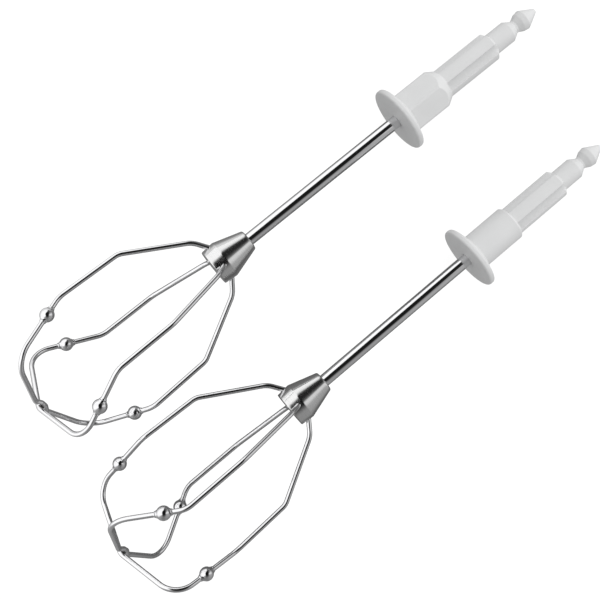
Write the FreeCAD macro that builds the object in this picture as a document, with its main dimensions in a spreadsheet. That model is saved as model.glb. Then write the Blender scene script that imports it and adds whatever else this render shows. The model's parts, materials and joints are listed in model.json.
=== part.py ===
# Pair of twin-spindle mixer beaters, lying side by side on a table.
#
# Each beater is modelled standing upright: local +Z runs along the steel shaft towards the drive
# tip and z = 0 is the lower face of the metal hub. Two bent wires cross at the foot of the cage and
# carry four balls. The two cages are mirror images, because the spindles turn against each other.
# Every finished piece is then laid down on the table (z = 0) with its tip towards +X.

import FreeCAD, Part
import math
import os
import Sketcher

V = FreeCAD.Vector
doc = FreeCAD.newDocument("beater_pair")
sheet = doc.addObject("Spreadsheet::Sheet", "Sizes")

SIZES = [
    # wire cage
    ("wire_r", 0.88, "radius of the cage wire"),
    ("knee_z", -0.4, "first bend below the hub: height"),
    ("knee_r", 11.3, "first bend below the hub: distance from the axis"),
    ("upper_z", -21.5, "upper bend of the cage: height"),
    ("upper_r", 23.5, "upper bend: distance from the axis"),
    ("lower_z", -43.7, "lower bend, plain wire: height"),
    ("lower_hump_z", -44.8, "lower bend, humped wire: height"),
    ("lower_r", 24.5, "lower bend: distance from the axis"),
    ("foot_z", -66.5, "foot bend: height"),
    ("foot_plain_r", 24.0, "foot bend, plain wire: distance from the axis"),
    ("foot_hump_r", 23.0, "foot bend, humped wire: distance from the axis"),
    ("foot_plain_turn", 29.8, "twist of the plain wire between lower and foot bend, degrees"),
    ("foot_hump_turn", 33.2, "twist of the humped wire, degrees"),
    ("crossing_z", -73.0, "height where the straight runs meet on the axis"),
    ("hump_foot", 3.4, "half width of the hump over the other wire"),
    ("hump_top", 1.1, "half width of the top of the hump"),
    ("hump_gap", 0.04, "air between the two wires at the crossing"),
    ("knee_bend", 9.0, "bend radius of the first bend"),
    ("upper_bend", 5.9, "bend radius of the upper bend"),
    ("lower_bend", 8.0, "bend radius of the lower bend"),
    ("foot_bend", 8.0, "bend radius of the foot bend"),
    ("crossing_bend", 4.0, "bend radius at the crossing"),
    ("hump_bend", 1.6, "bend radius of the hump"),
    # balls
    ("ball_r", 2.4, "radius of a ball"),
    ("ball_neck_r", 1.27, "radius of the short neck on each side of a ball"),
    ("ball_half", 2.4, "distance of the end of a neck from the ball centre"),
    ("ball_bore_r", 0.92, "radius of the hole for the wire"),
    ("ear_r", 1.1, "radius of the swollen crimps that hold a ball on its wire"),
    ("ear_gap", 0.08, "air between a crimp and the neck of its ball"),
    ("ear_len", 0.5, "length of a crimp"),
    ("weld_r", 1.22, "radius of the weld bead where the wires cross"),
    ("ball_plain_z", -55.2, "height of the balls on the plain wire"),
    ("ball_hump_z", -51.0, "height of the balls on the humped wire"),
    # hub
    ("hub_foot_r", 6.4, "hub: radius at the lower face"),
    ("hub_edge_z", 4.8, "hub: height of its widest edge"),
    ("hub_edge_r", 6.8, "hub: radius at the widest edge"),
    ("hub_top_z", 15.2, "hub: height of the small end"),
    ("hub_top_r", 3.65, "hub: radius of the small end"),
    ("hub_foot_round", 0.35, "hub: rounding of the lower face's edge"),
    ("hub_edge_round", 1.6, "hub: rounding of the widest edge"),
    ("hub_top_round", 1.2, "hub: rounding of the small end"),
    ("hub_bore_z", 7.0, "hub: bottom of the shaft hole"),
    ("wire_hole_z", 2.7, "height where a wire enters the side of the hub"),
    ("wire_hole_r", 0.9, "radius of a wire hole"),
    ("wire_end_r", 2.6, "distance of the wire ends from the axis"),
    ("wire_hole_len", 8.0, "length drilled for a wire, from its inner end to beyond the hub"),
    ("sink_r", 1.12, "radius of the countersunk mouth of a wire hole"),
    ("sink_depth", 0.35, "depth of the countersink"),
    # steel shaft
    ("rod_r", 2.18, "shaft radius"),
    ("rod_top_z", 118.0, "upper end of the shaft inside the drive shank"),
    ("flat_z", 104.0, "start of the two driving flats on the shaft"),
    ("flat_half", 1.7, "distance of a flat from the axis"),
    ("flat_block", 2.0, "thickness of the block that mills a flat"),
    ("flat_block_width", 8.0, "width of the block that mills a flat"),
    # plastic drive shank
    ("disc_face_z", 79.9, "splash disc: face towards the cage"),
    ("disc_back_z", 81.9, "splash disc: edge towards the tip"),
    ("disc_r", 11.75, "splash disc: radius"),
    ("disc_round", 0.8, "splash disc: rounding of the rim"),
    ("root_z", 83.9, "cone behind the disc meets the collar"),
    ("root_r", 6.2, "radius of the shank inside the collar"),
    ("collar_round_r", 6.3, "round collar: radius"),
    ("collar_round_z", 99.4, "round collar: start of its shoulder"),
    ("hex_corner_r", 8.14, "hexagon collar: distance of the corners"),
    ("hex_limit_r", 7.95, "hexagon collar: turned radius of the corners"),
    ("hex_cone_z", 96.2, "hexagon collar: start of the end cone"),
    ("ribs_z", 100.2, "start of the ribbed part"),
    ("ribs_r", 5.3, "radius over the ribs"),
    ("ribs_taper_z", 121.3, "start of the end taper of the ribs"),
    ("ribs_end_z", 122.4, "end of the ribs"),
    ("core_r", 3.9, "radius of the core"),
    ("core_end_z", 129.8, "end of the straight core"),
    ("core_lip_r", 2.75, "radius at the end of the core chamfer"),
    ("core_lip_z", 131.7, "height of the end of the core chamfer"),
    ("neck_r", 2.35, "radius of the neck"),
    ("neck_z", 132.2, "start of the neck"),
    ("neck_end_z", 133.0, "end of the neck"),
    ("barb_r", 3.35, "back of the snap head: radius"),
    ("barb_z", 134.9, "back of the snap head: height"),
    ("head_r", 3.65, "widest part of the snap head: radius"),
    ("head_z", 136.8, "widest part of the snap head: height"),
    ("tip_r", 0.8, "blunt tip: radius"),
    ("tip_z", 142.1, "blunt tip: height"),
    ("hollow_r", 2.0, "radius of the hollow between two ribs"),
    # how the two beaters lie on the table
    ("a_x", -29.01, "first beater: hub position along X"),
    ("a_y", 27.19, "first beater: hub position along Y"),
    ("a_turn", 13.4, "first beater: turn of its humped wire about the shaft, degrees"),
    ("a_rib_turn", 71.4, "first beater: turn of its ribs, degrees"),
    ("a_hex_turn", 89.4, "first beater: turn of a hexagon corner, degrees"),
    ("b_x", -39.01, "second beater: hub position along X"),
    ("b_y", -26.01, "second beater: hub position along Y"),
    ("b_yaw", 0.77, "second beater: turn on the table, degrees"),
    ("b_turn", -2.6, "second beater: turn of its plain wire about the shaft, degrees"),
    ("b_rib_turn", 74.0, "second beater: turn of its ribs, degrees"),
]

size = {}
for row, (alias, value, note) in enumerate(SIZES, start=1):
    sheet.set("A%d" % row, note)
    sheet.set("B%d" % row, str(value))
    sheet.setAlias("B%d" % row, alias)
    size[alias] = value
doc.recompute()


def bind(obj, **links):
    """Drive properties of an object from the spreadsheet."""
    for prop, formula in links.items():
        obj.setExpression(prop, formula)
    return obj


def polar(radius, turn, height):
    """Point at a distance from the shaft axis, turned about it by an angle in degrees."""
    a = math.radians(turn)
    return V(radius * math.cos(a), radius * math.sin(a), height)


def pointing(origin, direction):
    """Placement that puts local Z along a direction."""
    return FreeCAD.Placement(origin, FreeCAD.Rotation(V(0, 0, 1), direction))


def raised(alias):
    """Placement on the shaft axis at a height from the spreadsheet."""
    return FreeCAD.Placement(V(0, 0, size[alias]), FreeCAD.Rotation())


# ---------------------------------------------------------------- solids of revolution

def turned(name, outline):
    """Body turned about Z from (radius alias, height alias) corners; None stands for the axis."""
    body = doc.addObject("PartDesign::Body", name)
    plane = next(f for f in body.Origin.OriginFeatures if f.Role == "XZ_Plane")
    sketch = body.newObject("Sketcher::SketchObject", name + "_outline")
    sketch.AttachmentSupport = (plane, [""])
    sketch.MapMode = "FlatFace"
    spots = [V(size[r] if r else 0.0, size[h] if h else 0.0, 0) for r, h in outline]
    count = len(spots)
    for i in range(count):
        sketch.addGeometry(Part.LineSegment(spots[i], spots[(i + 1) % count]), False)
    for i in range(count):
        sketch.addConstraint(Sketcher.Constraint("Coincident", i, 2, (i + 1) % count, 1))
    for i, (r, h) in enumerate(outline):
        for kind, alias, axis in (("DistanceX", r, -2), ("DistanceY", h, -1)):
            if alias is None:
                sketch.addConstraint(Sketcher.Constraint("PointOnObject", i, 1, axis))
                continue
            index = sketch.addConstraint(Sketcher.Constraint(kind, -1, 1, i, 1, size[alias]))
            sketch.setExpression("Constraints[%d]" % index, "Sizes." + alias)
    turn = body.newObject("PartDesign::Revolution", name + "_turned")
    turn.Profile = (sketch, [""])
    turn.ReferenceAxis = (sketch, ["V_Axis"])
    turn.Angle = 360
    doc.recompute()
    return body


def rounded(body, rings, radius):
    """Round the circular edges of a turned body that lie at the given (radius, height) pairs."""
    names = []
    for i, edge in enumerate(body.Tip.Shape.Edges, start=1):
        curve = edge.Curve
        if not isinstance(curve, Part.Circle):
            continue
        for r, h in rings:
            if abs(curve.Radius - size[r]) < 1e-4 and abs(curve.Center.z - h) < 1e-4:
                names.append("Edge%d" % i)
    fillet = body.newObject("PartDesign::Fillet", body.Name + "_rounding")
    fillet.Base = (body.Tip if body.Tip != fillet else fillet.BaseFeature, names)
    bind(fillet, Radius=radius)
    doc.recompute()
    return body


def boolean(kind, name, parts):
    obj = doc.addObject(kind, name)
    if kind == "Part::Cut":
        obj.Base, obj.Tool = parts
    else:
        obj.Shapes = parts
    return obj


def cylinder(name, placement, radius, height):
    obj = doc.addObject("Part::Cylinder", name)
    bind(obj, Radius=radius, Height=height)
    obj.Placement = placement
    return obj


# ---------------------------------------------------------------- the cage wires

def arm_points(turn, hand, humped):
    """Corner points of one arm from its end inside the hub down to the foot bend."""
    slope = (size["wire_hole_z"] - size["knee_z"]) / (size["hub_edge_r"] - size["knee_r"])
    end_z = size["wire_hole_z"] + slope * (size["wire_end_r"] - size["hub_edge_r"])
    kind = "hump" if humped else "plain"
    twist = hand * size["foot_%s_turn" % kind]
    lower_z = size["lower_hump_z"] if humped else size["lower_z"]
    return [polar(size["wire_end_r"], turn, end_z),
            polar(size["knee_r"], turn, size["knee_z"]),
            polar(size["upper_r"], turn, size["upper_z"]),
            polar(size["lower_r"], turn, lower_z),
            polar(size["foot_%s_r" % kind], turn + twist, size["foot_z"])]


def crossing_top():
    """Height of the plain wire's upper surface on the axis, where its bend lies above its corner."""
    slope = math.atan2(size["foot_z"] - size["crossing_z"], size["foot_plain_r"])
    sag = size["crossing_bend"] * (1 / math.cos(slope) - 1)
    return size["crossing_z"] + sag + size["wire_r"]


def crossing_points(foot, humped):
    """Corner points at the crossing for a wire whose foot bend lies at `foot`."""
    out = V(foot.x, foot.y, 0)
    out.normalize()
    if not humped:
        return [V(0, 0, size["crossing_z"])]
    reach = math.hypot(foot.x, foot.y)
    rise = (size["foot_z"] - size["crossing_z"]) / reach * size["hump_foot"]
    top = crossing_top() + size["hump_gap"] + size["wire_r"]
    side = [out * size["hump_foot"] + V(0, 0, size["crossing_z"] + rise),
            out * size["hump_top"] + V(0, 0, top)]
    return side + [V(-p.x, -p.y, p.z) for p in reversed(side)]


def bent_path(corners, bends):
    """Straight runs joined by tangent arcs; one bend radius for each inner corner."""
    edges = []
    here = corners[0]
    for before, corner, after, bend in zip(corners, corners[1:], corners[2:], bends):
        u = (before - corner).normalize()
        v = (after - corner).normalize()
        half = u.getAngle(v) / 2
        back = min(bend / math.tan(half), 0.48 * (before - corner).Length, 0.48 * (after - corner).Length)
        radius = back * math.tan(half)
        start, end = corner + u * back, corner + v * back
        middle = corner + (u + v).normalize() * (math.hypot(back, radius) - radius)
        edges.append(Part.makeLine(here, start))
        edges.append(Part.Arc(start, middle, end).toShape())
        here = end
    edges.append(Part.makeLine(here, corners[-1]))
    return Part.Wire(edges)


def swept_wire(name, turn, hand, humped):
    """Bare wire: arm, crossing, opposite arm."""
    down = arm_points(turn, hand, humped)
    up = arm_points(turn + 180, hand, humped)
    corners = down + crossing_points(down[-1], humped) + up[::-1]
    arm_bends = [size[bend] for bend in ("knee_bend", "upper_bend", "lower_bend", "foot_bend")]
    middle = [size["hump_bend"]] * 4 if humped else [size["crossing_bend"]]
    spine = doc.addObject("Part::Feature", name + "_path")
    spine.Shape = bent_path(corners, arm_bends + middle + arm_bends[::-1])
    section = doc.addObject("Part::Circle", name + "_section")
    bind(section, Radius="Sizes.wire_r")
    section.Placement = pointing(corners[0], corners[1] - corners[0])
    sweep = doc.addObject("Part::Sweep", name + "_bare")
    sweep.Sections = [section]
    sweep.Spine = (spine, ["Edge%d" % (i + 1) for i in range(len(spine.Shape.Edges))])
    sweep.Solid = True
    sweep.Frenet = False
    return sweep


def ball_seat(turn, hand, humped):
    """Placement of a ball on the straight run of an arm, local Z along the wire."""
    lower, foot = arm_points(turn, hand, humped)[3:]
    height = size["ball_hump_z"] if humped else size["ball_plain_z"]
    return pointing(lower + (foot - lower) * ((height - lower.z) / (foot.z - lower.z)), foot - lower)


def crimped(name, bare, seats):
    """Wire with a swollen crimp on each side of every ball."""
    ears = []
    start = size["ball_half"] + size["ear_gap"]
    for i, seat in enumerate(seats, start=1):
        for side, z in (("above", -start - size["ear_len"]), ("below", start)):
            spot = seat * FreeCAD.Placement(V(0, 0, z), FreeCAD.Rotation())
            ears.append(cylinder("%s_ear_%d_%s" % (name, i, side), spot, "Sizes.ear_r", "Sizes.ear_len"))
    return boolean("Part::MultiFuse", name, [bare] + ears)


def ball(name):
    """Drilled ball with a short neck around each end of its hole."""
    start = FreeCAD.Placement(V(0, 0, -size["ball_half"]), FreeCAD.Rotation())
    sphere = bind(doc.addObject("Part::Sphere", name + "_sphere"), Radius="Sizes.ball_r")
    neck = cylinder(name + "_neck", start, "Sizes.ball_neck_r", "2 * Sizes.ball_half")
    bore = cylinder(name + "_bore", start, "Sizes.ball_bore_r", "2 * Sizes.ball_half")
    return boolean("Part::Cut", name, (boolean("Part::MultiFuse", name + "_whole", [sphere, neck]), bore))


def cross_weld(name, wires):
    """Weld bead in the corners between the two wires, around the point where they meet."""
    sphere = bind(doc.addObject("Part::Sphere", name + "_bead"), Radius="Sizes.weld_r")
    sphere.Placement.Base = V(0, 0, crossing_top() + size["hump_gap"] / 2)
    return boolean("Part::Cut", name, (sphere, boolean("Part::MultiFuse", name + "_wires", wires)))


# ---------------------------------------------------------------- hub, shaft and drive shank

def hub(name, turns):
    """Turned hub with a shaft hole from above and four slanting, countersunk wire holes."""
    body = turned(name + "_turned", [(None, None), ("hub_foot_r", None), ("hub_edge_r", "hub_edge_z"),
                                     ("hub_top_r", "hub_top_z"), (None, "hub_top_z")])
    rounded(body, [("hub_foot_r", 0.0)], "Sizes.hub_foot_round")
    rounded(body, [("hub_edge_r", size["hub_edge_z"])], "Sizes.hub_edge_round")
    rounded(body, [("hub_top_r", size["hub_top_z"])], "Sizes.hub_top_round")
    tools = [cylinder(name + "_shaft_hole", raised("hub_bore_z"),
                      "Sizes.rod_r", "Sizes.hub_top_z - Sizes.hub_bore_z")]
    for i, turn in enumerate(turns, start=1):
        end, knee = arm_points(turn, 1, False)[:2]
        out = (knee - end).normalize()
        tools.append(cylinder("%s_wire_hole_%d" % (name, i), pointing(end, out),
                              "Sizes.wire_hole_r", "Sizes.wire_hole_len"))
        mouth = polar(size["hub_edge_r"], turn, size["wire_hole_z"])
        sink = doc.addObject("Part::Cone", "%s_sink_%d" % (name, i))
        bind(sink, Radius1="Sizes.wire_hole_r", Radius2="2 * Sizes.sink_r - Sizes.wire_hole_r",
             Height="2 * Sizes.sink_depth")
        sink.Placement = pointing(mouth - out * size["sink_depth"], out)
        tools.append(sink)
    return boolean("Part::Cut", name, (body, boolean("Part::MultiFuse", name + "_holes", tools)))


def driving_flats(name, start, reach):
    """Two blocks beside the shaft axis, used to cut or to spare the driving flats."""
    blocks = []
    for side, turn in (("left", 0), ("right", 180)):
        block = doc.addObject("Part::Box", "%s_%s" % (name, side))
        bind(block, Length="Sizes.flat_block", Width="Sizes.flat_block_width", Height=reach)
        spin = FreeCAD.Rotation(V(0, 0, 1), turn)
        corner = V(size["flat_half"], -size["flat_block_width"] / 2, 0)
        block.Placement = FreeCAD.Placement(spin.multVec(corner) + V(0, 0, start), spin)
        blocks.append(block)
    return boolean("Part::MultiFuse", name, blocks)


def shaft(name):
    bottom = raised("hub_bore_z")
    rod = cylinder(name + "_rod", bottom, "Sizes.rod_r", "Sizes.rod_top_z - Sizes.hub_bore_z")
    flats = driving_flats(name + "_flats", size["flat_z"], "Sizes.rod_top_z - Sizes.flat_z")
    return boolean("Part::Cut", name, (rod, flats))


def drive_shank(name, hexagon, rib_turn, hex_turn):
    """Plastic moulding: splash disc, collar, four ribs, core, neck and snap head."""
    collar = [("root_r", "root_z"), ("root_r", "ribs_z")] if hexagon else [
        ("collar_round_r", "root_z"), ("collar_round_r", "collar_round_z")]
    body = turned(name + "_turned", [
        (None, "disc_face_z"), ("disc_r", "disc_face_z"), ("disc_r", "disc_back_z")] + collar + [
        ("ribs_r", "ribs_z"), ("ribs_r", "ribs_taper_z"), ("core_r", "ribs_end_z"),
        ("core_r", "core_end_z"), ("core_lip_r", "core_lip_z"), ("neck_r", "neck_z"),
        ("neck_r", "neck_end_z"), ("barb_r", "barb_z"), ("head_r", "head_z"), ("tip_r", "tip_z"),
        (None, "tip_z")])
    rounded(body, [("disc_r", size["disc_face_z"]), ("disc_r", size["disc_back_z"])], "Sizes.disc_round")
    solid = body
    if hexagon:
        prism = doc.addObject("Part::Prism", name + "_hexagon")
        prism.Polygon = 6
        bind(prism, Circumradius="Sizes.hex_corner_r", Height="Sizes.ribs_z - Sizes.disc_back_z")
        hex_spin = FreeCAD.Placement(V(), FreeCAD.Rotation(V(0, 0, 1), hex_turn))
        prism.Placement = raised("disc_back_z") * hex_spin
        lower = cylinder(name + "_hexagon_turned", raised("disc_back_z"), "Sizes.hex_limit_r",
                         "Sizes.hex_cone_z - Sizes.disc_back_z")
        cone = doc.addObject("Part::Cone", name + "_hexagon_cone")
        bind(cone, Radius1="Sizes.hex_limit_r", Radius2="Sizes.ribs_r",
             Height="Sizes.ribs_z - Sizes.hex_cone_z")
        cone.Placement = raised("hex_cone_z")
        limit = boolean("Part::MultiFuse", name + "_hexagon_limit", [lower, cone])
        nut = boolean("Part::MultiCommon", name + "_hexagon_collar", [prism, limit])
        solid = boolean("Part::MultiFuse", name + "_solid", [body, nut])
    hollows = []
    for i in range(4):
        spot = polar(size["core_r"] + size["hollow_r"], rib_turn + 45 + 90 * i, size["ribs_z"])
        hollows.append(cylinder("%s_hollow_%d" % (name, i + 1), FreeCAD.Placement(spot, FreeCAD.Rotation()),
                                "Sizes.hollow_r", "Sizes.ribs_end_z - Sizes.ribs_z"))
    bore = cylinder(name + "_bore_round", raised("disc_face_z"),
                    "Sizes.rod_r", "Sizes.rod_top_z - Sizes.disc_face_z")
    spared = driving_flats(name + "_flats", size["flat_z"], "Sizes.rod_top_z - Sizes.flat_z")
    keyed = boolean("Part::Cut", name + "_bore", (bore, spared))
    cuts = boolean("Part::MultiFuse", name + "_cuts", hollows + [keyed])
    return boolean("Part::Cut", name, (solid, cuts))


# ---------------------------------------------------------------- lying on the table

def cage_depth(turn, tilt):
    """How far the lowest bend of the cage hangs below the hub point when the shaft is tilted."""
    corner, before, after = (V(size[r], 0, size[h]) for r, h in (
        ("upper_r", "upper_z"), ("knee_r", "knee_z"), ("lower_r", "lower_z")))
    u, v = (before - corner).normalize(), (after - corner).normalize()
    half = u.getAngle(v) / 2
    centre = corner + (u + v).normalize() * (size["upper_bend"] / math.sin(half))
    down, along = -math.sin(math.radians(turn)) * math.cos(tilt), math.sin(tilt)
    reach = size["upper_bend"] * math.hypot(down, along) + size["wire_r"]
    return centre.x * down + centre.z * along + reach


def disc_depth(tilt):
    """How far the rim of the splash disc hangs below the hub point."""
    round_r = size["disc_round"]
    cone = math.atan2(size["root_z"] - size["disc_back_z"], size["disc_r"] - size["root_r"])
    centre_z = size["disc_back_z"] - round_r * math.tan(math.pi / 4 - cone / 2)
    return (size["disc_r"] - round_r) * math.cos(tilt) + centre_z * math.sin(tilt) + round_r


def lying(x, y, low_turn, yaw):
    """Placement of a beater resting on its lowest wire and on the rim of its disc."""
    low, high = 0.0, math.radians(20)
    for _ in range(60):
        tilt = (low + high) / 2
        low, high = (tilt, high) if cage_depth(low_turn, tilt) > disc_depth(tilt) else (low, tilt)
    upright_to_x = FreeCAD.Rotation(V(1, 1, 1), 120)
    nod = FreeCAD.Rotation(V(0, 1, 0), math.degrees(tilt))
    turn = FreeCAD.Rotation(V(0, 0, 1), yaw)
    return FreeCAD.Placement(V(x, y, disc_depth(tilt)), turn * nod * upright_to_x)


def beater(label, place, hump_turn, plain_turn, hand, hexagon, rib_turn, hex_turn):
    """All the pieces of one beater, laid down with the same placement."""
    upright = FreeCAD.Placement()
    pieces, bare_wires = [], []
    for kind, turn in (("plain", plain_turn), ("humped", hump_turn)):
        humped = kind == "humped"
        seats = [ball_seat(turn + extra, hand, humped) for extra in (0, 180)]
        bare = swept_wire("%s_wire_%s" % (label, kind), turn, hand, humped)
        bare_wires.append(bare)
        pieces.append(("wire_" + kind, crimped("%s_wire_%s" % (label, kind), bare, seats), upright))
        for i, seat in enumerate(seats, start=1):
            name = "ball_%s_%d" % (kind, i)
            pieces.append((name, ball("%s_%s" % (label, name)), seat))
    arms = [plain_turn + 90 * i for i in range(4)]
    pieces.append(("cross_weld", cross_weld(label + "_cross_weld", bare_wires), upright))
    pieces.append(("hub", hub(label + "_hub", arms), upright))
    pieces.append(("shaft", shaft(label + "_shaft"), upright))
    shank = drive_shank(label + "_drive_shank", hexagon, rib_turn, hex_turn)
    pieces.append(("drive_shank", shank, upright))
    for name, obj, local in pieces:
        obj.Label = "%s_%s" % (label, name)
        obj.Placement = place * local
    return [obj for _, obj, _ in pieces]


# The lowest arm of the first beater belongs to its plain wire, the lowest arm of the second one
# to its humped wire; `low_turn` is the turn of that arm about the shaft.
place_a = lying(size["a_x"], size["a_y"], size["a_turn"] + 270, 0)
place_b = lying(size["b_x"], size["b_y"], size["b_turn"] + 270, size["b_yaw"])
finished = beater("beater_a", place_a, size["a_turn"], size["a_turn"] + 90, 1,
                  True, size["a_rib_turn"], size["a_hex_turn"])
finished += beater("beater_b", place_b, size["b_turn"] + 90, size["b_turn"], -1,
                   False, size["b_rib_turn"], 0)

doc.recompute()
for obj in doc.Objects:
    if "Invalid" in obj.State or "Error" in obj.State:
        raise RuntimeError("%s did not compute: %s" % (obj.Name, obj.State))

os.makedirs("parts", exist_ok=True)
whole = FreeCAD.BoundBox()
for obj in finished:
    shape = obj.Shape
    if shape.isNull() or not shape.isValid() or len(shape.Solids) != 1:
        raise RuntimeError("%s is not one valid solid" % obj.Label)
    shape.exportStep("parts/%s.step" % obj.Label)
    box = shape.optimalBoundingBox(False, False)
    whole.add(box)
    print("%-28s %9.1f mm3  z %.3f..%.3f" % (obj.Label, shape.Volume, box.ZMin, box.ZMax))
print("whole x %.2f..%.2f  y %.2f..%.2f  z %.3f..%.2f" % (
    whole.XMin, whole.XMax, whole.YMin, whole.YMax, whole.ZMin, whole.ZMax))
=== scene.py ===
import json
import math

import bmesh
import bpy
from mathutils import Matrix, Vector, noise


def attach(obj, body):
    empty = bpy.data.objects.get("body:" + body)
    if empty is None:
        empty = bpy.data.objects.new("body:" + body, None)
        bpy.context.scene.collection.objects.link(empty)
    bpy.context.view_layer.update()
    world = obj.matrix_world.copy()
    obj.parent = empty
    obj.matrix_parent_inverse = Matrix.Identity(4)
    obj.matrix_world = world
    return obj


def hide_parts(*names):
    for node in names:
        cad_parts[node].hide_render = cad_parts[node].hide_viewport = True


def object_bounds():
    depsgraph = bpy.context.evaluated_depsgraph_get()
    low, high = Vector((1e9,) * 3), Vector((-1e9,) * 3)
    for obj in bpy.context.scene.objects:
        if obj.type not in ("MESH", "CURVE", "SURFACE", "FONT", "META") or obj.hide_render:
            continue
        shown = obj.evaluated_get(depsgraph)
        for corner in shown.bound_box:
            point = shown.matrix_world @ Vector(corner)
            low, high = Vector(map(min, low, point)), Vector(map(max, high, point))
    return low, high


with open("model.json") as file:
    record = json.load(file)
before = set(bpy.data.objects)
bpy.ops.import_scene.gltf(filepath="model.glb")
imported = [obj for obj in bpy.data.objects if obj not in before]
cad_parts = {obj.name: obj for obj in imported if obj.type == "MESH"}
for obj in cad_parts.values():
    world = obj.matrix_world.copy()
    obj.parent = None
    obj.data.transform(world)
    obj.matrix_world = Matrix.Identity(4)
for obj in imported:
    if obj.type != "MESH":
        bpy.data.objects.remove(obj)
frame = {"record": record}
cad_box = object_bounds()

# Sizes are in millimetres in each beater's own upright frame: +Z along the shaft to the drive tip,
# z = 0 at the lower face of the hub. MM turns them into metres.
MM = 0.001
TAU = 2 * math.pi
OUTLINE_SHARE, BEND_SHARE = 0.45, 0.48     # how much of a straight run a rounding or a bend may use

# An arm of the cage is bent at a radius and a height: the knee beside the hub, then upper, lower and foot.
WIRE_R = 0.88
KNEE = (11.3, -0.4)
UPPER = (23.5, -21.5)
LOWER_R = 24.5
LOWER_Z = {"plain": -43.7, "humped": -44.8}
FOOT_Z = -66.5
FOOT_R = {"plain": 24.0, "humped": 23.0}
FOOT_TURN = {"plain": 29.8, "humped": 33.2}
CROSSING_Z = -73.0
ARM_BENDS = [9.0, 5.9, 8.0, 8.0]             # bend radii of the knee, upper, lower and foot
CROSSING_BEND, HUMP_BEND = 4.0, 1.6
HUMP_FOOT, HUMP_TOP, HUMP_GAP = 3.4, 1.1, 0.04     # the crank that takes one wire over the other
WIRE_HOLE_Z, HUB_EDGE_R, WIRE_END_R = 2.7, 6.8, 2.6
BALL_Z = {"plain": -55.2, "humped": -51.0}
BALL_R, BALL_HALF, BALL_BORE_R, BALL_NECK_R = 2.4, 2.4, 0.92, 1.27
BALL_NECK_ROUND, BALL_NECK_BEVEL = 0.15, 0.04
EAR_R, EAR_GAP, EAR_LEN = 1.1, 0.08, 0.5     # the crimps that hold each ball in its place
EAR_EARLY, EAR_RISE, EAR_FALL = 0.02, 0.12, 0.18

# How each beater is turned about its own shaft, in degrees.
BEATERS = {
    "beater_a": {"hand": 1, "plain": 103.4, "humped": 13.4, "ribs": 71.4, "hexagon": 89.4},
    "beater_b": {"hand": -1, "plain": -2.6, "humped": 87.4, "ribs": 74.0, "hexagon": None},
}


# ------------------------------------------------------------------ placing and mesh helpers

def rig_matrix(beater):
    """Upright frame of a beater in the row frame, read from its drive pin mount."""
    mount = next(m for m in frame["record"]["mounts"] if m["name"] == beater + "_drive_pin")
    axis = Vector(mount["axis"]).normalized()
    side = Vector((0, 0, 1)).cross(axis).normalized()
    up = axis.cross(side)
    origin = Vector(mount["pos_m"]) - axis * DRIVE_PIN_Z * MM
    turn = Matrix((side, up, axis)).transposed().to_4x4()
    return Matrix.Translation(origin) @ turn


def along(origin, direction):
    """Frame with local Z along a direction, placed at a point; both in the upright frame, mm."""
    turn = Vector((0, 0, 1)).rotation_difference(direction).to_matrix().to_4x4()
    return Matrix.Translation(Vector(origin) * MM) @ turn


def polar(radius, turn, height):
    """Point at a distance from the shaft axis, a turn about it in degrees and a height."""
    a = math.radians(turn)
    return Vector((radius * math.cos(a), radius * math.sin(a), height))


def new_piece(name, bm, matrix, material, sharp=35):
    mesh = bpy.data.meshes.new(name)
    bmesh.ops.recalc_face_normals(bm, faces=bm.faces)
    bm.to_mesh(mesh)
    bm.free()
    mesh.shade_smooth()
    mesh.set_sharp_from_angle(angle=math.radians(sharp))
    mesh.materials.append(material)
    obj = bpy.data.objects.new(name, mesh)
    bpy.context.scene.collection.objects.link(obj)
    obj.matrix_world = matrix
    return obj


def finish_piece(obj, body, node):
    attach(obj, body)
    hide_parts(node)


def grid_mesh(rows, close_start=True, close_end=True, v_lengths=None):
    """Closed rings of points (mm) joined into a skin with UVs: u around, v along in mm."""
    bm = bmesh.new()
    uv = bm.loops.layers.uv.new("UVMap")
    rings = [[bm.verts.new(p * MM) for p in row] for row in rows]
    count = len(rows[0])
    if v_lengths is None:
        v_lengths = [0.0]
        for a, b in zip(rows, rows[1:]):
            v_lengths.append(v_lengths[-1] + (b[0] - a[0]).length)
    for i in range(len(rings) - 1):
        for j in range(count):
            k = (j + 1) % count
            face = bm.faces.new((rings[i][j], rings[i][k], rings[i + 1][k], rings[i + 1][j]))
            us = (j / count, (j + 1) / count, (j + 1) / count, j / count)
            vs = (v_lengths[i], v_lengths[i], v_lengths[i + 1], v_lengths[i + 1])
            for loop, u, v in zip(face.loops, us, vs):
                loop[uv].uv = (u, v)
    if close_start:
        bm.faces.new(rings[0][::-1])
    if close_end:
        bm.faces.new(rings[-1])
    return bm


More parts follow.
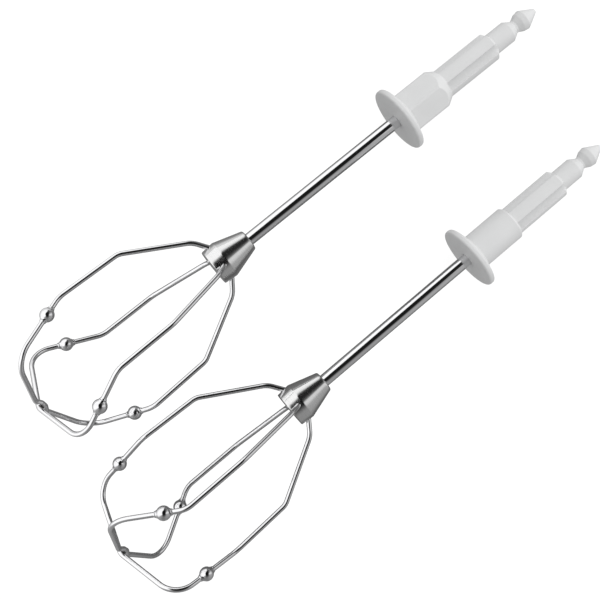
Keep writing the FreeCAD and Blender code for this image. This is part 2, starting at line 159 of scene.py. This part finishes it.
def rounded_outline(corners, steps=5):
    """(radius, height, rounding) corners to a list of points; every rounding gives steps + 1 points.

    A corner that is too flat, too sharp or too short to round is repeated instead, so outlines taken at
    different turns have the same number of points and can be joined.
    """
    points = []
    for i, (r, z, rounding) in enumerate(corners):
        here = Vector((r, z))
        if i in (0, len(corners) - 1) or rounding == 0:
            points.append(here)
            continue
        before = Vector(corners[i - 1][:2]) - here
        after = Vector(corners[i + 1][:2]) - here
        too_short = min(before.length, after.length) <= 1e-6
        half = math.pi / 2 if too_short else before.angle(after) / 2
        if half > math.radians(89) or half < math.radians(3):
            points += [here.copy() for _ in range(steps + 1)]
            continue
        back = min(rounding / math.tan(half), OUTLINE_SHARE * before.length, OUTLINE_SHARE * after.length)
        radius = back * math.tan(half)
        u, v = before.normalized(), after.normalized()
        centre = here + (u + v).normalized() * math.hypot(back, radius)
        start, end = here + u * back - centre, here + v * back - centre
        sweep = start.angle(end)
        for k in range(steps + 1):
            f = k / steps
            w0 = math.sin((1 - f) * sweep) / math.sin(sweep)
            w1 = math.sin(f * sweep) / math.sin(sweep)
            points.append(centre + start * w0 + end * w1)
    return points


def lathe(outline, segments):
    """Rings of points from an outline turned about the axis."""
    return [[polar(p.x, 360 * j / segments, p.y) for j in range(segments)] for p in outline]


# ------------------------------------------------------------------ materials

def node_tree(name):
    material = bpy.data.materials.new(name)
    material.use_nodes = True
    tree = material.node_tree
    return material, tree, tree.nodes["Principled BSDF"]


def add(tree, kind, **inputs):
    node = tree.nodes.new(kind)
    for key, value in inputs.items():
        node.inputs[key.replace("_", " ")].default_value = value
    return node


NOISE_LOW, NOISE_HIGH = 0.3, 0.7      # most of a noise texture's values lie between these


def stretched(tree, coordinates, scale):
    """Texture coordinates scaled apart along each axis, for grain that runs one way."""
    source = tree.nodes.new("ShaderNodeTexCoord")
    mapping = tree.nodes.new("ShaderNodeMapping")
    mapping.inputs["Scale"].default_value = scale
    tree.links.new(source.outputs[coordinates], mapping.inputs["Vector"])
    return mapping.outputs["Vector"]


def grain(tree, coordinates, scale, detail=4.0):
    texture = add(tree, "ShaderNodeTexNoise", Scale=1.0, Detail=detail, Roughness=0.6)
    tree.links.new(stretched(tree, coordinates, scale), texture.inputs["Vector"])
    return texture.outputs["Fac"]


def spread(tree, factor, low, high):
    """Noise mapped to a range of values."""
    node = add(tree, "ShaderNodeMapRange", From_Min=NOISE_LOW, From_Max=NOISE_HIGH, To_Min=low, To_Max=high)
    tree.links.new(factor, node.inputs["Value"])
    return node.outputs["Result"]


def tint(tree, factor, dark, light):
    """Noise mapped to the colours between a dark and a light one."""
    ramp = tree.nodes.new("ShaderNodeValToRGB")
    stops = zip(ramp.color_ramp.elements, (NOISE_LOW, NOISE_HIGH), (dark, light))
    for element, position, colour in stops:
        element.position = position
        element.color = (*colour, 1)
    tree.links.new(factor, ramp.inputs["Fac"])
    return ramp.outputs["Color"]


def bump(tree, shader, factor, strength, distance):
    node = add(tree, "ShaderNodeBump", Strength=strength, Distance=distance)
    tree.links.new(factor, node.inputs["Height"])
    tree.links.new(node.outputs["Normal"], shader.inputs["Normal"])


def drawn_steel(name, coordinates, scale, dark, light, rough):
    """Bright steel with fine drawing lines along its length."""
    material, tree, shader = node_tree(name)
    shader.inputs["Metallic"].default_value = 1.0
    lines = grain(tree, coordinates, scale)
    tree.links.new(tint(tree, lines, dark, light), shader.inputs["Base Color"])
    tree.links.new(spread(tree, lines, *rough), shader.inputs["Roughness"])
    bump(tree, shader, lines, strength=0.12, distance=0.00002)
    return material


def turned_steel(name):
    """Satin steel with the fine rings of a lathe tool."""
    material, tree, shader = node_tree(name)
    shader.inputs["Metallic"].default_value = 1.0
    shader.inputs["Anisotropic"].default_value = 0.75
    shader.inputs["Anisotropic Rotation"].default_value = 0.25
    rings = grain(tree, "Object", (300, 300, 14000), 3.0)
    tangent = tree.nodes.new("ShaderNodeTangent")
    tangent.direction_type = "RADIAL"
    tangent.axis = "Z"
    tree.links.new(tangent.outputs["Tangent"], shader.inputs["Tangent"])
    tree.links.new(tint(tree, rings, (0.60, 0.60, 0.60), (0.72, 0.72, 0.72)), shader.inputs["Base Color"])
    tree.links.new(spread(tree, rings, 0.11, 0.19), shader.inputs["Roughness"])
    bump(tree, shader, rings, strength=0.15, distance=0.00003)
    return material


def moulded_plastic(name):
    """Satin plastic with soft patches of tone and a fine moulded grain."""
    material, tree, shader = node_tree(name)
    shade = grain(tree, "Object", (90, 90, 60), 5.0)
    fine = grain(tree, "Object", (5200, 5200, 5200), 2.0)
    colour = tint(tree, shade, (0.600, 0.604, 0.606), (0.640, 0.643, 0.645))
    tree.links.new(colour, shader.inputs["Base Color"])
    tree.links.new(spread(tree, fine, 0.42, 0.56), shader.inputs["Roughness"])
    shader.inputs["Specular IOR Level"].default_value = 0.35
    bump(tree, shader, fine, strength=0.10, distance=0.00004)
    return material


WIRE_STEEL = drawn_steel("drawn_wire", "UV", scale=(24, 0.25, 1), dark=(0.68, 0.68, 0.69),
                         light=(0.80, 0.80, 0.81), rough=(0.03, 0.08))
SHAFT_STEEL = drawn_steel("polished_rod", "Object", scale=(6000, 6000, 60), dark=(0.70, 0.70, 0.71),
                          light=(0.80, 0.80, 0.81), rough=(0.05, 0.12))
BALL_STEEL = drawn_steel("polished_ball", "Object", scale=(900, 900, 900), dark=(0.66, 0.66, 0.67),
                         light=(0.76, 0.76, 0.77), rough=(0.03, 0.08))
# The weld bead's near-black colour is painted shade for the dark crevice where the wires cross.
WELD_STEEL_PAINTED_SHADE = drawn_steel("weld_bead_painted_shade", "Object", scale=(3000, 3000, 3000), dark=(0.04, 0.04, 0.04),
                         light=(0.14, 0.135, 0.13), rough=(0.25, 0.45))
HUB_STEEL = turned_steel("turned_hub")
PLASTIC = moulded_plastic("grey_plastic")


# ------------------------------------------------------------------ cage wires

def arm_points(turn, hand, kind):
    """Corners of one arm, from its end inside the hub to its foot."""
    slope = (WIRE_HOLE_Z - KNEE[1]) / (HUB_EDGE_R - KNEE[0])
    end_z = WIRE_HOLE_Z + slope * (WIRE_END_R - HUB_EDGE_R)
    return [polar(WIRE_END_R, turn, end_z), polar(KNEE[0], turn, KNEE[1]), polar(UPPER[0], turn, UPPER[1]),
            polar(LOWER_R, turn, LOWER_Z[kind]),
            polar(FOOT_R[kind], turn + hand * FOOT_TURN[kind], FOOT_Z)]


def crossing_top():
    """Height of the plain wire's upper side where the wires cross."""
    slope = math.atan2(FOOT_Z - CROSSING_Z, FOOT_R["plain"])
    return CROSSING_Z + CROSSING_BEND * (1 / math.cos(slope) - 1) + WIRE_R


def crossing_points(foot, kind):
    """Corners between the feet of two opposite arms: one for the plain wire, four for the humped one."""
    if kind == "plain":
        return [Vector((0, 0, CROSSING_Z))]
    reach = math.hypot(foot.x, foot.y)
    out = Vector((foot.x, foot.y, 0)) / reach
    rise = (FOOT_Z - CROSSING_Z) / reach * HUMP_FOOT
    top = crossing_top() + HUMP_GAP + WIRE_R
    side = [out * HUMP_FOOT + Vector((0, 0, CROSSING_Z + rise)), out * HUMP_TOP + Vector((0, 0, top))]
    return side + [Vector((-p.x, -p.y, p.z)) for p in reversed(side)]


def bent_path(corners, bends, arc_step=0.35, run_step=1.2):
    """Points along straight runs joined by tangent arcs."""
    points = [corners[0]]

    def run(end):
        start = points[-1]
        count = max(1, int((end - start).length / run_step))
        points.extend(start.lerp(end, (i + 1) / count) for i in range(count))

    for before, corner, after, bend in zip(corners, corners[1:], corners[2:], bends):
        u, v = (before - corner).normalized(), (after - corner).normalized()
        half = u.angle(v) / 2
        back = min(bend / math.tan(half), BEND_SHARE * (before - corner).length,
                   BEND_SHARE * (after - corner).length)
        radius = back * math.tan(half)
        centre = corner + (u + v).normalized() * math.hypot(back, radius)
        start, end = corner + u * back - centre, corner + v * back - centre
        sweep = start.angle(end)
        run(centre + start)
        count = max(4, int(radius * sweep / arc_step))
        for k in range(1, count + 1):
            f = k / count
            points.append(centre + start * (math.sin((1 - f) * sweep) / math.sin(sweep))
                          + end * (math.sin(f * sweep) / math.sin(sweep)))
    run(corners[-1])
    return points


def refine(points, spots, reach=4.5, step=0.12):
    """Add points where the radius changes, near each spot."""
    fine = [points[0]]
    for a, b in zip(points, points[1:]):
        near = any((a - s).length < reach or (b - s).length < reach for s in spots)
        count = max(1, int((b - a).length / step)) if near else 1
        fine.extend(a.lerp(b, (i + 1) / count) for i in range(count))
    return fine


def smooth_step(x):
    x = min(max(x, 0.0), 1.0)
    return x * x * (3 - 2 * x)


def crimp(distance):
    """How far a crimp swells the wire at a distance from the ball centre, 0 to 1."""
    inner = BALL_HALF + EAR_GAP
    return (smooth_step((distance - inner + EAR_EARLY) / EAR_RISE)
            * smooth_step((inner + EAR_LEN - distance) / EAR_FALL))


def tube(points, spots, sides=20):
    """Skin of a wire along a path, with crimps on both sides of each ball centre in spots."""
    tangent = (points[1] - points[0]).normalized()
    side = tangent.orthogonal().normalized()
    rows, length, lengths = [], 0.0, []
    for i, p in enumerate(points):
        ahead = points[min(i + 1, len(points) - 1)]
        behind = points[max(i - 1, 0)]
        turned = (ahead - behind).normalized()
        side = (tangent.rotation_difference(turned) @ side).normalized()
        tangent = turned
        other = tangent.cross(side)
        swell = max((crimp((p - s).length) for s in spots), default=0.0)
        radius = WIRE_R + (EAR_R - WIRE_R) * swell
        rows.append([p + (side * math.cos(TAU * j / sides) + other * math.sin(TAU * j / sides)) * radius
                     for j in range(sides)])
        lengths.append(length)
        length += (ahead - p).length
    return grid_mesh(rows, v_lengths=lengths)


def ball_seat(turn, hand, kind):
    """Centre of a ball and the direction of the wire through it."""
    lower, foot = arm_points(turn, hand, kind)[3:]
    centre = lower.lerp(foot, (BALL_Z[kind] - lower.z) / (foot.z - lower.z))
    return centre, (foot - lower).normalized()


def make_wire(beater, rig, kind, turn, hand):
    """One wire, which makes two opposite arms, and its two balls."""
    down, up = arm_points(turn, hand, kind), arm_points(turn + 180, hand, kind)
    middle = crossing_points(down[-1], kind)
    middle_bends = [CROSSING_BEND] if kind == "plain" else [HUMP_BEND] * 4
    seats = [ball_seat(turn + extra, hand, kind) for extra in (0, 180)]
    spots = [centre for centre, _ in seats]
    path = bent_path(down + middle + up[::-1], ARM_BENDS + middle_bends + ARM_BENDS[::-1])
    name = "%s_wire_%s" % (beater, kind)
    wire = new_piece(name + "_drawn", tube(refine(path, spots), spots), rig, WIRE_STEEL, 60)
    finish_piece(wire, beater, name)
    for i, (centre, direction) in enumerate(seats, start=1):
        make_ball("%s_ball_%s_%d" % (beater, kind, i), rig @ along(centre, direction))


def make_ball(name, matrix):
    """Drilled ball whose ends draw out into short necks."""
    neck = [Vector((BALL_BORE_R, -BALL_HALF)), Vector((BALL_NECK_R - BALL_NECK_ROUND, -BALL_HALF)),
            Vector((BALL_NECK_R - BALL_NECK_BEVEL, -BALL_HALF + BALL_NECK_BEVEL)),
            Vector((BALL_NECK_R, -BALL_HALF + BALL_NECK_ROUND))]
    blend = math.asin(BALL_NECK_R / BALL_R) + math.radians(5)
    steps = 44
    outline = list(neck)
    for k in range(steps + 1):
        a = blend + (math.pi - 2 * blend) * k / steps
        outline.append(Vector((BALL_R * math.sin(a), -BALL_R * math.cos(a))))
    outline += [Vector((p.x, -p.y)) for p in reversed(neck)]
    outline.append(Vector((BALL_BORE_R, -BALL_HALF)))
    bm = grid_mesh(lathe(outline, 64), False, False)
    bmesh.ops.remove_doubles(bm, verts=bm.verts, dist=1e-7)
    finish_piece(new_piece(name + "_turned", bm, matrix, BALL_STEEL, 50), name, name)


def make_weld(beater, rig):
    """Small uneven bead in the corner between the crossing wires; its near-black colour is painted shade for
    the dark crevice where they cross.
    """
    size, lumps, lump_scale, flatter = 1.06, 0.10, 2.3, 0.82
    bm = bmesh.new()
    bmesh.ops.create_icosphere(bm, subdivisions=4, radius=1.0)
    centre = Vector((0, 0, crossing_top() + HUMP_GAP / 2)) * MM
    for v in bm.verts:
        lump = size + lumps * noise.noise(v.co * lump_scale + Vector((3.1, 0.4, 1.7)))
        v.co = Vector((v.co.x * lump, v.co.y * lump, v.co.z * lump * flatter)) * MM + centre
    weld = new_piece(beater + "_cross_weld_bead", bm, rig, WELD_STEEL_PAINTED_SHADE, 60)
    finish_piece(weld, beater, beater + "_cross_weld")


# ------------------------------------------------------------------ hub and shaft

CENTRE_R = 0.01                       # a lathed end closes on a ring this small
HUB_FOOT_R, HUB_EDGE_Z, HUB_TOP_R, HUB_TOP_Z = 6.4, 4.8, 3.65, 15.2
HUB_MOUTH_R, HUB_SINK_R, HUB_SINK_Z = 2.40, 2.22, 15.0
WIRE_HOLE_R, SINK_START_R, SINK_END_R = 0.94, 1.24, 1.4     # a wire's hole and its countersink
SHAFT_R, SHAFT_FOOT_Z, SHAFT_MIDDLE_Z, SHAFT_END_Z = 2.18, 7.0, 60.0, 118.0


def wire_hole_outline(reach):
    """Outline of the tool that drills a wire's hole and countersinks its mouth, which is at reach."""
    return [Vector((CENTRE_R, 0)), Vector((WIRE_HOLE_R, 0)), Vector((WIRE_HOLE_R, reach - 0.3)),
            Vector((SINK_START_R, reach + 0.3)), Vector((SINK_END_R, reach + 0.9)),
            Vector((CENTRE_R, reach + 0.9))]


def make_hub(beater, rig, first_turn):
    """Turned cone with four drilled wire holes."""
    outline = rounded_outline([(CENTRE_R, 0.0, 0), (HUB_FOOT_R, 0.0, 0.35), (HUB_EDGE_R, HUB_EDGE_Z, 1.6),
                               (HUB_TOP_R, HUB_TOP_Z, 1.2), (HUB_MOUTH_R, HUB_TOP_Z, 0.12),
                               (HUB_SINK_R, HUB_SINK_Z, 0)])
    dense, step = [outline[0]], 0.6
    for a, b in zip(outline, outline[1:]):
        count = max(1, int((b - a).length / step))
        dense.extend(a.lerp(b, (i + 1) / count) for i in range(count))
    bm = grid_mesh(lathe(dense, 192))
    hub = new_piece(beater + "_hub_turned", bm, rig, HUB_STEEL)
    for i in range(4):
        end, knee = arm_points(first_turn + 90 * i, 1, "plain")[:2]
        out = (knee - end).normalized()
        mouth = polar(HUB_EDGE_R, first_turn + 90 * i, WIRE_HOLE_Z)
        reach = (mouth - end).length
        drill = grid_mesh(lathe(wire_hole_outline(reach), 48))
        cutter = new_piece("cutter", drill, rig @ along(end, out), HUB_STEEL)
        cut = hub.modifiers.new("wire_hole", "BOOLEAN")
        cut.operation = "DIFFERENCE"
        cut.solver = "EXACT"
        cut.object = cutter
        bpy.context.view_layer.update()
        mesh = bpy.data.meshes.new_from_object(hub.evaluated_get(bpy.context.evaluated_depsgraph_get()))
        hub.modifiers.clear()
        hub.data = mesh
        bpy.data.objects.remove(cutter)
    hub.data.shade_smooth()
    hub.data.set_sharp_from_angle(angle=math.radians(25))
    finish_piece(hub, beater, beater + "_hub")


def make_shaft(beater, rig):
    """Round rod; its driving flats are out of sight in the shank and are left out."""
    outline = rounded_outline([(CENTRE_R, SHAFT_FOOT_Z, 0), (SHAFT_R, SHAFT_FOOT_Z, 0.2),
                               (SHAFT_R, SHAFT_MIDDLE_Z, 0), (SHAFT_R, SHAFT_END_Z, 0.2),
                               (CENTRE_R, SHAFT_END_Z, 0)])
    shaft = new_piece(beater + "_shaft_rod", grid_mesh(lathe(outline, 96)), rig, SHAFT_STEEL)
    finish_piece(shaft, beater, beater + "_shaft")


# ------------------------------------------------------------------ drive shank

DISC_R, DISC_FACE, DISC_BACK = 11.75, 79.9, 81.9
ROOT_R, ROOT_Z = 6.2, 83.9
HEX_CORNER_R, HEX_LIMIT_R, HEX_CONE_Z = 8.14, 7.95, 96.2
RIBS_Z, RIBS_R, RIBS_TAPER_Z, RIBS_END_Z = 100.2, 5.3, 121.3, 122.4
CORE_R, CORE_END_Z = 3.9, 129.8
DRIVE_PIN_Z = (RIBS_END_Z + CORE_END_Z) / 2     # where the record's drive pin mount sits on the shaft axis
HOLLOW_R, CREST_BLEND = 2.0, 0.10
ROUND_COLLAR_R, ROUND_COLLAR_Z = 6.3, 99.5
BORE_R, BORE_TOP_Z, BORE_MOUTH_R, BORE_MOUTH_Z = 2.2, 80.9, 2.3, 80.0
SHOULDER_R, SHOULDER_Z = 2.75, 131.7
NECK_R, NECK_Z, NECK_END_Z = 2.35, 132.2, 133.0
HEAD_R, HEAD_Z, HEAD_WIDEST_R, HEAD_WIDEST_Z = 3.35, 134.9, 3.65, 136.8
TIP_R, TIP_Z, TIP_CENTRE_R = 0.8, 142.1, 0.02


def hexagon_radius(turn, first_corner):
    """Distance of a hexagon's side from the axis, with its corners turned off."""
    flat = HEX_CORNER_R * math.cos(math.radians(30))
    from_middle = (turn - first_corner) % 60 - 30
    return min(flat / math.cos(math.radians(from_middle)), HEX_LIMIT_R)


def ribbed_radius(turn, ribs):
    """Distance of the ribbed part from the axis: four crests with round hollows between them."""
    from_hollow = math.radians(abs((turn - ribs) % 90 - 45))
    centre = CORE_R + HOLLOW_R
    inside = HOLLOW_R ** 2 - (centre * math.sin(from_hollow)) ** 2
    if inside <= 0:
        return RIBS_R
    hollow = centre * math.cos(from_hollow) - math.sqrt(inside)
    mix = min(max(0.5 + 0.5 * (RIBS_R - hollow) / CREST_BLEND, 0), 1)
    return RIBS_R + (hollow - RIBS_R) * mix - CREST_BLEND * mix * (1 - mix)


def disc_back_at(radius):
    return DISC_BACK + (DISC_R - radius) * (ROOT_Z - DISC_BACK) / (DISC_R - ROOT_R)


def shank_section(turn, ribs, hexagon):
    """Corners (radius, height, rounding) of the shank's outline at one turn about the shaft."""
    if hexagon is None:
        collar_r, collar_z = ROUND_COLLAR_R, ROUND_COLLAR_Z
        end_z = RIBS_Z - 0.05
        cone_z = end_z
    else:
        collar_r = hexagon_radius(turn, hexagon)
        slope = (HEX_LIMIT_R - RIBS_R) / (RIBS_Z - HEX_CONE_Z)
        collar_z = HEX_CONE_Z + (HEX_LIMIT_R - collar_r) / slope
        end_z = RIBS_Z
        cone_z = end_z - 0.35
    rib_r = ribbed_radius(turn, ribs)
    return [
        (BORE_R, BORE_TOP_Z, 0), (BORE_R, BORE_MOUTH_Z, 0), (BORE_MOUTH_R, DISC_FACE, 0),
        (DISC_R, DISC_FACE, 0.75), (DISC_R, DISC_BACK, 0.7), (collar_r, disc_back_at(collar_r), 0.35),
        (collar_r, collar_z - 0.6, 0), (collar_r, collar_z, 0.22), (RIBS_R + 0.35, cone_z, 0.1),
        (rib_r, end_z, 0.12), (rib_r, RIBS_Z + 1.0, 0), (rib_r, RIBS_TAPER_Z, 0.2),
        (CORE_R, RIBS_END_Z, 0.12), (CORE_R, CORE_END_Z, 0.25), (SHOULDER_R, SHOULDER_Z, 0.12),
        (NECK_R, NECK_Z, 0.2), (NECK_R, NECK_END_Z, 0.2), (HEAD_R, HEAD_Z, 0.25),
        (HEAD_WIDEST_R, HEAD_WIDEST_Z, 0.5), (TIP_R, TIP_Z, 0.5), (TIP_CENTRE_R, TIP_Z, 0)]


def make_shank(beater, rig, ribs, hexagon, segments=360):
    """Splash disc, collar, ribs, core, neck and snap head as one skin; hexagon is None for a round collar."""
    turns = [360 * j / segments for j in range(segments)]
    columns = [rounded_outline(shank_section(t, ribs, hexagon), 4) for t in turns]
    rows = [[polar(column[i].x, t, column[i].y) for column, t in zip(columns, turns)]
            for i in range(len(columns[0]))]
    shank = new_piece(beater + "_shank_moulding", grid_mesh(rows), rig, PLASTIC, 28)
    finish_piece(shank, beater, beater + "_drive_shank")


for beater, look in BEATERS.items():
    rig = rig_matrix(beater)
    for kind in ("plain", "humped"):
        make_wire(beater, rig, kind, look[kind], look["hand"])
    make_weld(beater, rig)
    make_hub(beater, rig, look["plain"])
    make_shaft(beater, rig)
    make_shank(beater, rig, look["ribs"], look["hexagon"])


# ------------------------------------------------------------------ table, light tent, lamps

# The studio is laid out by the camera's view of the table: LEFT and UP are its left and top edges.
LEFT = Vector((-0.78, 0.626, 0)).normalized()
UP = Vector((0.626, 0.78, 0)).normalized()

# The tent wall by azimuth: 0 is the picture's left, 90 its top, in degrees; then how bright it is and
# over how many degrees it rises from the dark flag overhead.
PANELS = [
    (-80, 0.24, 30), (-48, 0.42, 25), (-24, 1.40, 10), (84, 1.35, 9), (98, 0.12, 30), (122, 0.14, 30),
    (148, 0.42, 24), (165, 0.95, 14), (180, 0.90, 14), (194, 0.50, 26), (207, 0.45, 30), (232, 0.36, 34),
    (270, 0.24, 36), (280, 0.24, 30)]
FLAG_LEFT, FLAG_UP, FLAG_HALF_WIDTH, FLAG_HALF_HEIGHT = -6, 15, 23, 33     # degrees from straight up
FLAG_GLOW, FLAG_EDGE = 0.012, 0.15
# The first value is painted shadow: how dark the reflected table is right next to the beaters.
TABLE_PAINTED_SHADOW, TABLE_FAR, TABLE_FROM_PANEL = 0.12, 0.16, 0.58
TABLE_INSET, TABLE_FADE = 0.02, 0.09


def panel_at(azimuth):
    azimuth = (azimuth + 80) % 360 - 80
    for (start, *low), (end, *high) in zip(PANELS, PANELS[1:]):
        if start <= azimuth <= end:
            mix = smooth_step((azimuth - start) / (end - start))
            return [a + (b - a) * mix for a, b in zip(low, high)]
    return PANELS[0][1:]


def tent_brightness(direction):
    """What a polished surface sees when it looks up: bright and dim walls round a dark flag overhead."""
    left, up = direction.dot(LEFT), direction.dot(UP)
    fall = math.degrees(math.acos(max(-1, min(1, direction.z))))
    reach = max(math.hypot(left, up), 1e-6)
    level, fade = panel_at(math.degrees(math.atan2(up, left)))
    off_left, off_up = fall * left / reach - FLAG_LEFT, fall * up / reach - FLAG_UP
    outside = math.hypot(off_left / FLAG_HALF_WIDTH, off_up / FLAG_HALF_HEIGHT) - 1
    return FLAG_GLOW + level * smooth_step(outside * FLAG_HALF_WIDTH / fade + FLAG_EDGE)


def table_brightness(x, y):
    """What a polished surface sees when it looks down: the table, greyer than the white table the camera sees
    and darkest near the beaters, as painted shade for their shadow on it.
    """
    low, high = cad_box
    outside = math.hypot(max(low[0] - x, 0, x - high[0]), max(low[1] - y, 0, y - high[1]))
    spot = Vector((x, y, 0))
    level = panel_at(math.degrees(math.atan2(spot.dot(UP), spot.dot(LEFT))))[0]
    far = TABLE_FAR + TABLE_FROM_PANEL * level
    return TABLE_PAINTED_SHADOW + (far - TABLE_PAINTED_SHADOW) * smooth_step((outside + TABLE_INSET) / TABLE_FADE)


def studio_grid(name, points, columns, brightness):
    """Sheet of points seen only in reflections; every point glows with its own brightness."""
    faces = []
    rows = len(points) // columns
    for i in range(rows - 1):
        for j in range(columns - 1):
            k = i * columns + j
            faces.append((k, k + 1, k + columns + 1, k + columns))
    mesh = bpy.data.meshes.new(name)
    mesh.from_pydata(points, [], faces)
    glow = mesh.color_attributes.new("glow", "FLOAT_COLOR", "POINT")
    for item, point in zip(glow.data, points):
        value = brightness(point)
        item.color = (value, value, value, 1)
    material = bpy.data.materials.new(name)
    material.use_nodes = True
    nodes, links = material.node_tree.nodes, material.node_tree.links
    nodes.clear()
    colour = nodes.new("ShaderNodeVertexColor")
    colour.layer_name = "glow"
    emission = nodes.new("ShaderNodeEmission")
    output = nodes.new("ShaderNodeOutputMaterial")
    links.new(colour.outputs["Color"], emission.inputs["Color"])
    links.new(emission.outputs["Emission"], output.inputs["Surface"])
    mesh.materials.append(material)
    obj = bpy.data.objects.new(name, mesh)
    bpy.context.scene.collection.objects.link(obj)
    obj.visible_camera = False
    obj.visible_diffuse = False
    obj.visible_shadow = False
    obj.visible_transmission = False


def softbox(name, direction, energy, distance=1.2, size=0.8):
    light = bpy.data.lights.new(name, "AREA")
    light.shape = "SQUARE"
    light.size = size
    light.energy = energy
    lamp = bpy.data.objects.new(name, light)
    bpy.context.scene.collection.objects.link(lamp)
    lamp.location = Vector(direction).normalized() * distance
    lamp.rotation_euler = (-lamp.location).to_track_quat("-Z", "Y").to_euler()
    lamp.visible_glossy = False


TENT_R, TENT_COLUMNS, TENT_ROWS, TENT_FALL = 0.62, 181, 61, math.radians(92)
tent_points = []
for i in range(TENT_ROWS):
    fall = TENT_FALL * i / (TENT_ROWS - 1)
    for j in range(TENT_COLUMNS):
        turn = TAU * j / (TENT_COLUMNS - 1)
        tent_points.append(Vector((math.sin(fall) * math.cos(turn), math.sin(fall) * math.sin(turn),
                                   math.cos(fall))) * TENT_R)
studio_grid("light_tent", tent_points, TENT_COLUMNS, lambda p: tent_brightness(p.normalized()))

TABLE_STEPS, TABLE_REACH, TABLE_DROP = 61, 0.62, 0.0002
table_ticks = [(2 * i / (TABLE_STEPS - 1) - 1) * TABLE_REACH for i in range(TABLE_STEPS)]
table_points = [Vector((x, y, -TABLE_DROP)) for x in table_ticks for y in table_ticks]
studio_grid("table_in_reflections", table_points, TABLE_STEPS, lambda p: table_brightness(p.x, p.y))

material, tree, shader = node_tree("pale_table")
shader.inputs["Base Color"].default_value = (0.25, 0.25, 0.25, 1)
shader.inputs["Roughness"].default_value = 1.0
shader.inputs["Specular IOR Level"].default_value = 0.0
shader.inputs["Emission Color"].default_value = (1, 1, 1, 1)
shader.inputs["Emission Strength"].default_value = 0.86
FLOOR_REACH = 3.0
floor_corners = [(x * FLOOR_REACH, y * FLOOR_REACH, 0) for x, y in ((-1, -1), (1, -1), (1, 1), (-1, 1))]
floor_mesh = bpy.data.meshes.new("table")
floor_mesh.from_pydata(floor_corners, [], [(0, 1, 2, 3)])
floor_mesh.materials.append(material)
table = bpy.data.objects.new("table", floor_mesh)
bpy.context.scene.collection.objects.link(table)
table.visible_diffuse = False
table.visible_glossy = False

world = bpy.data.worlds.new("studio")
bpy.context.scene.world = world
world.use_nodes = True
background = world.node_tree.nodes["Background"]
background.inputs["Color"].default_value = (1, 1, 1, 1)
background.inputs["Strength"].default_value = 0.66

softbox("key", (0.75, 0.50, 0.50), energy=7.0)
softbox("fill", (0.65, -0.55, 0.50), energy=4.5)

camera_data = bpy.data.cameras.new("camera")
camera_data.sensor_width = 36
camera_data.lens = 63.2
camera = bpy.data.objects.new("camera", camera_data)
bpy.context.scene.collection.objects.link(camera)
camera.location = (-0.00562, 0.03137, 0.37197)
camera.rotation_euler = [math.radians(a) for a in (-4.651, -2.142, -38.537)]
bpy.context.scene.camera = camera
bpy.context.scene.view_settings.view_transform = "Standard"
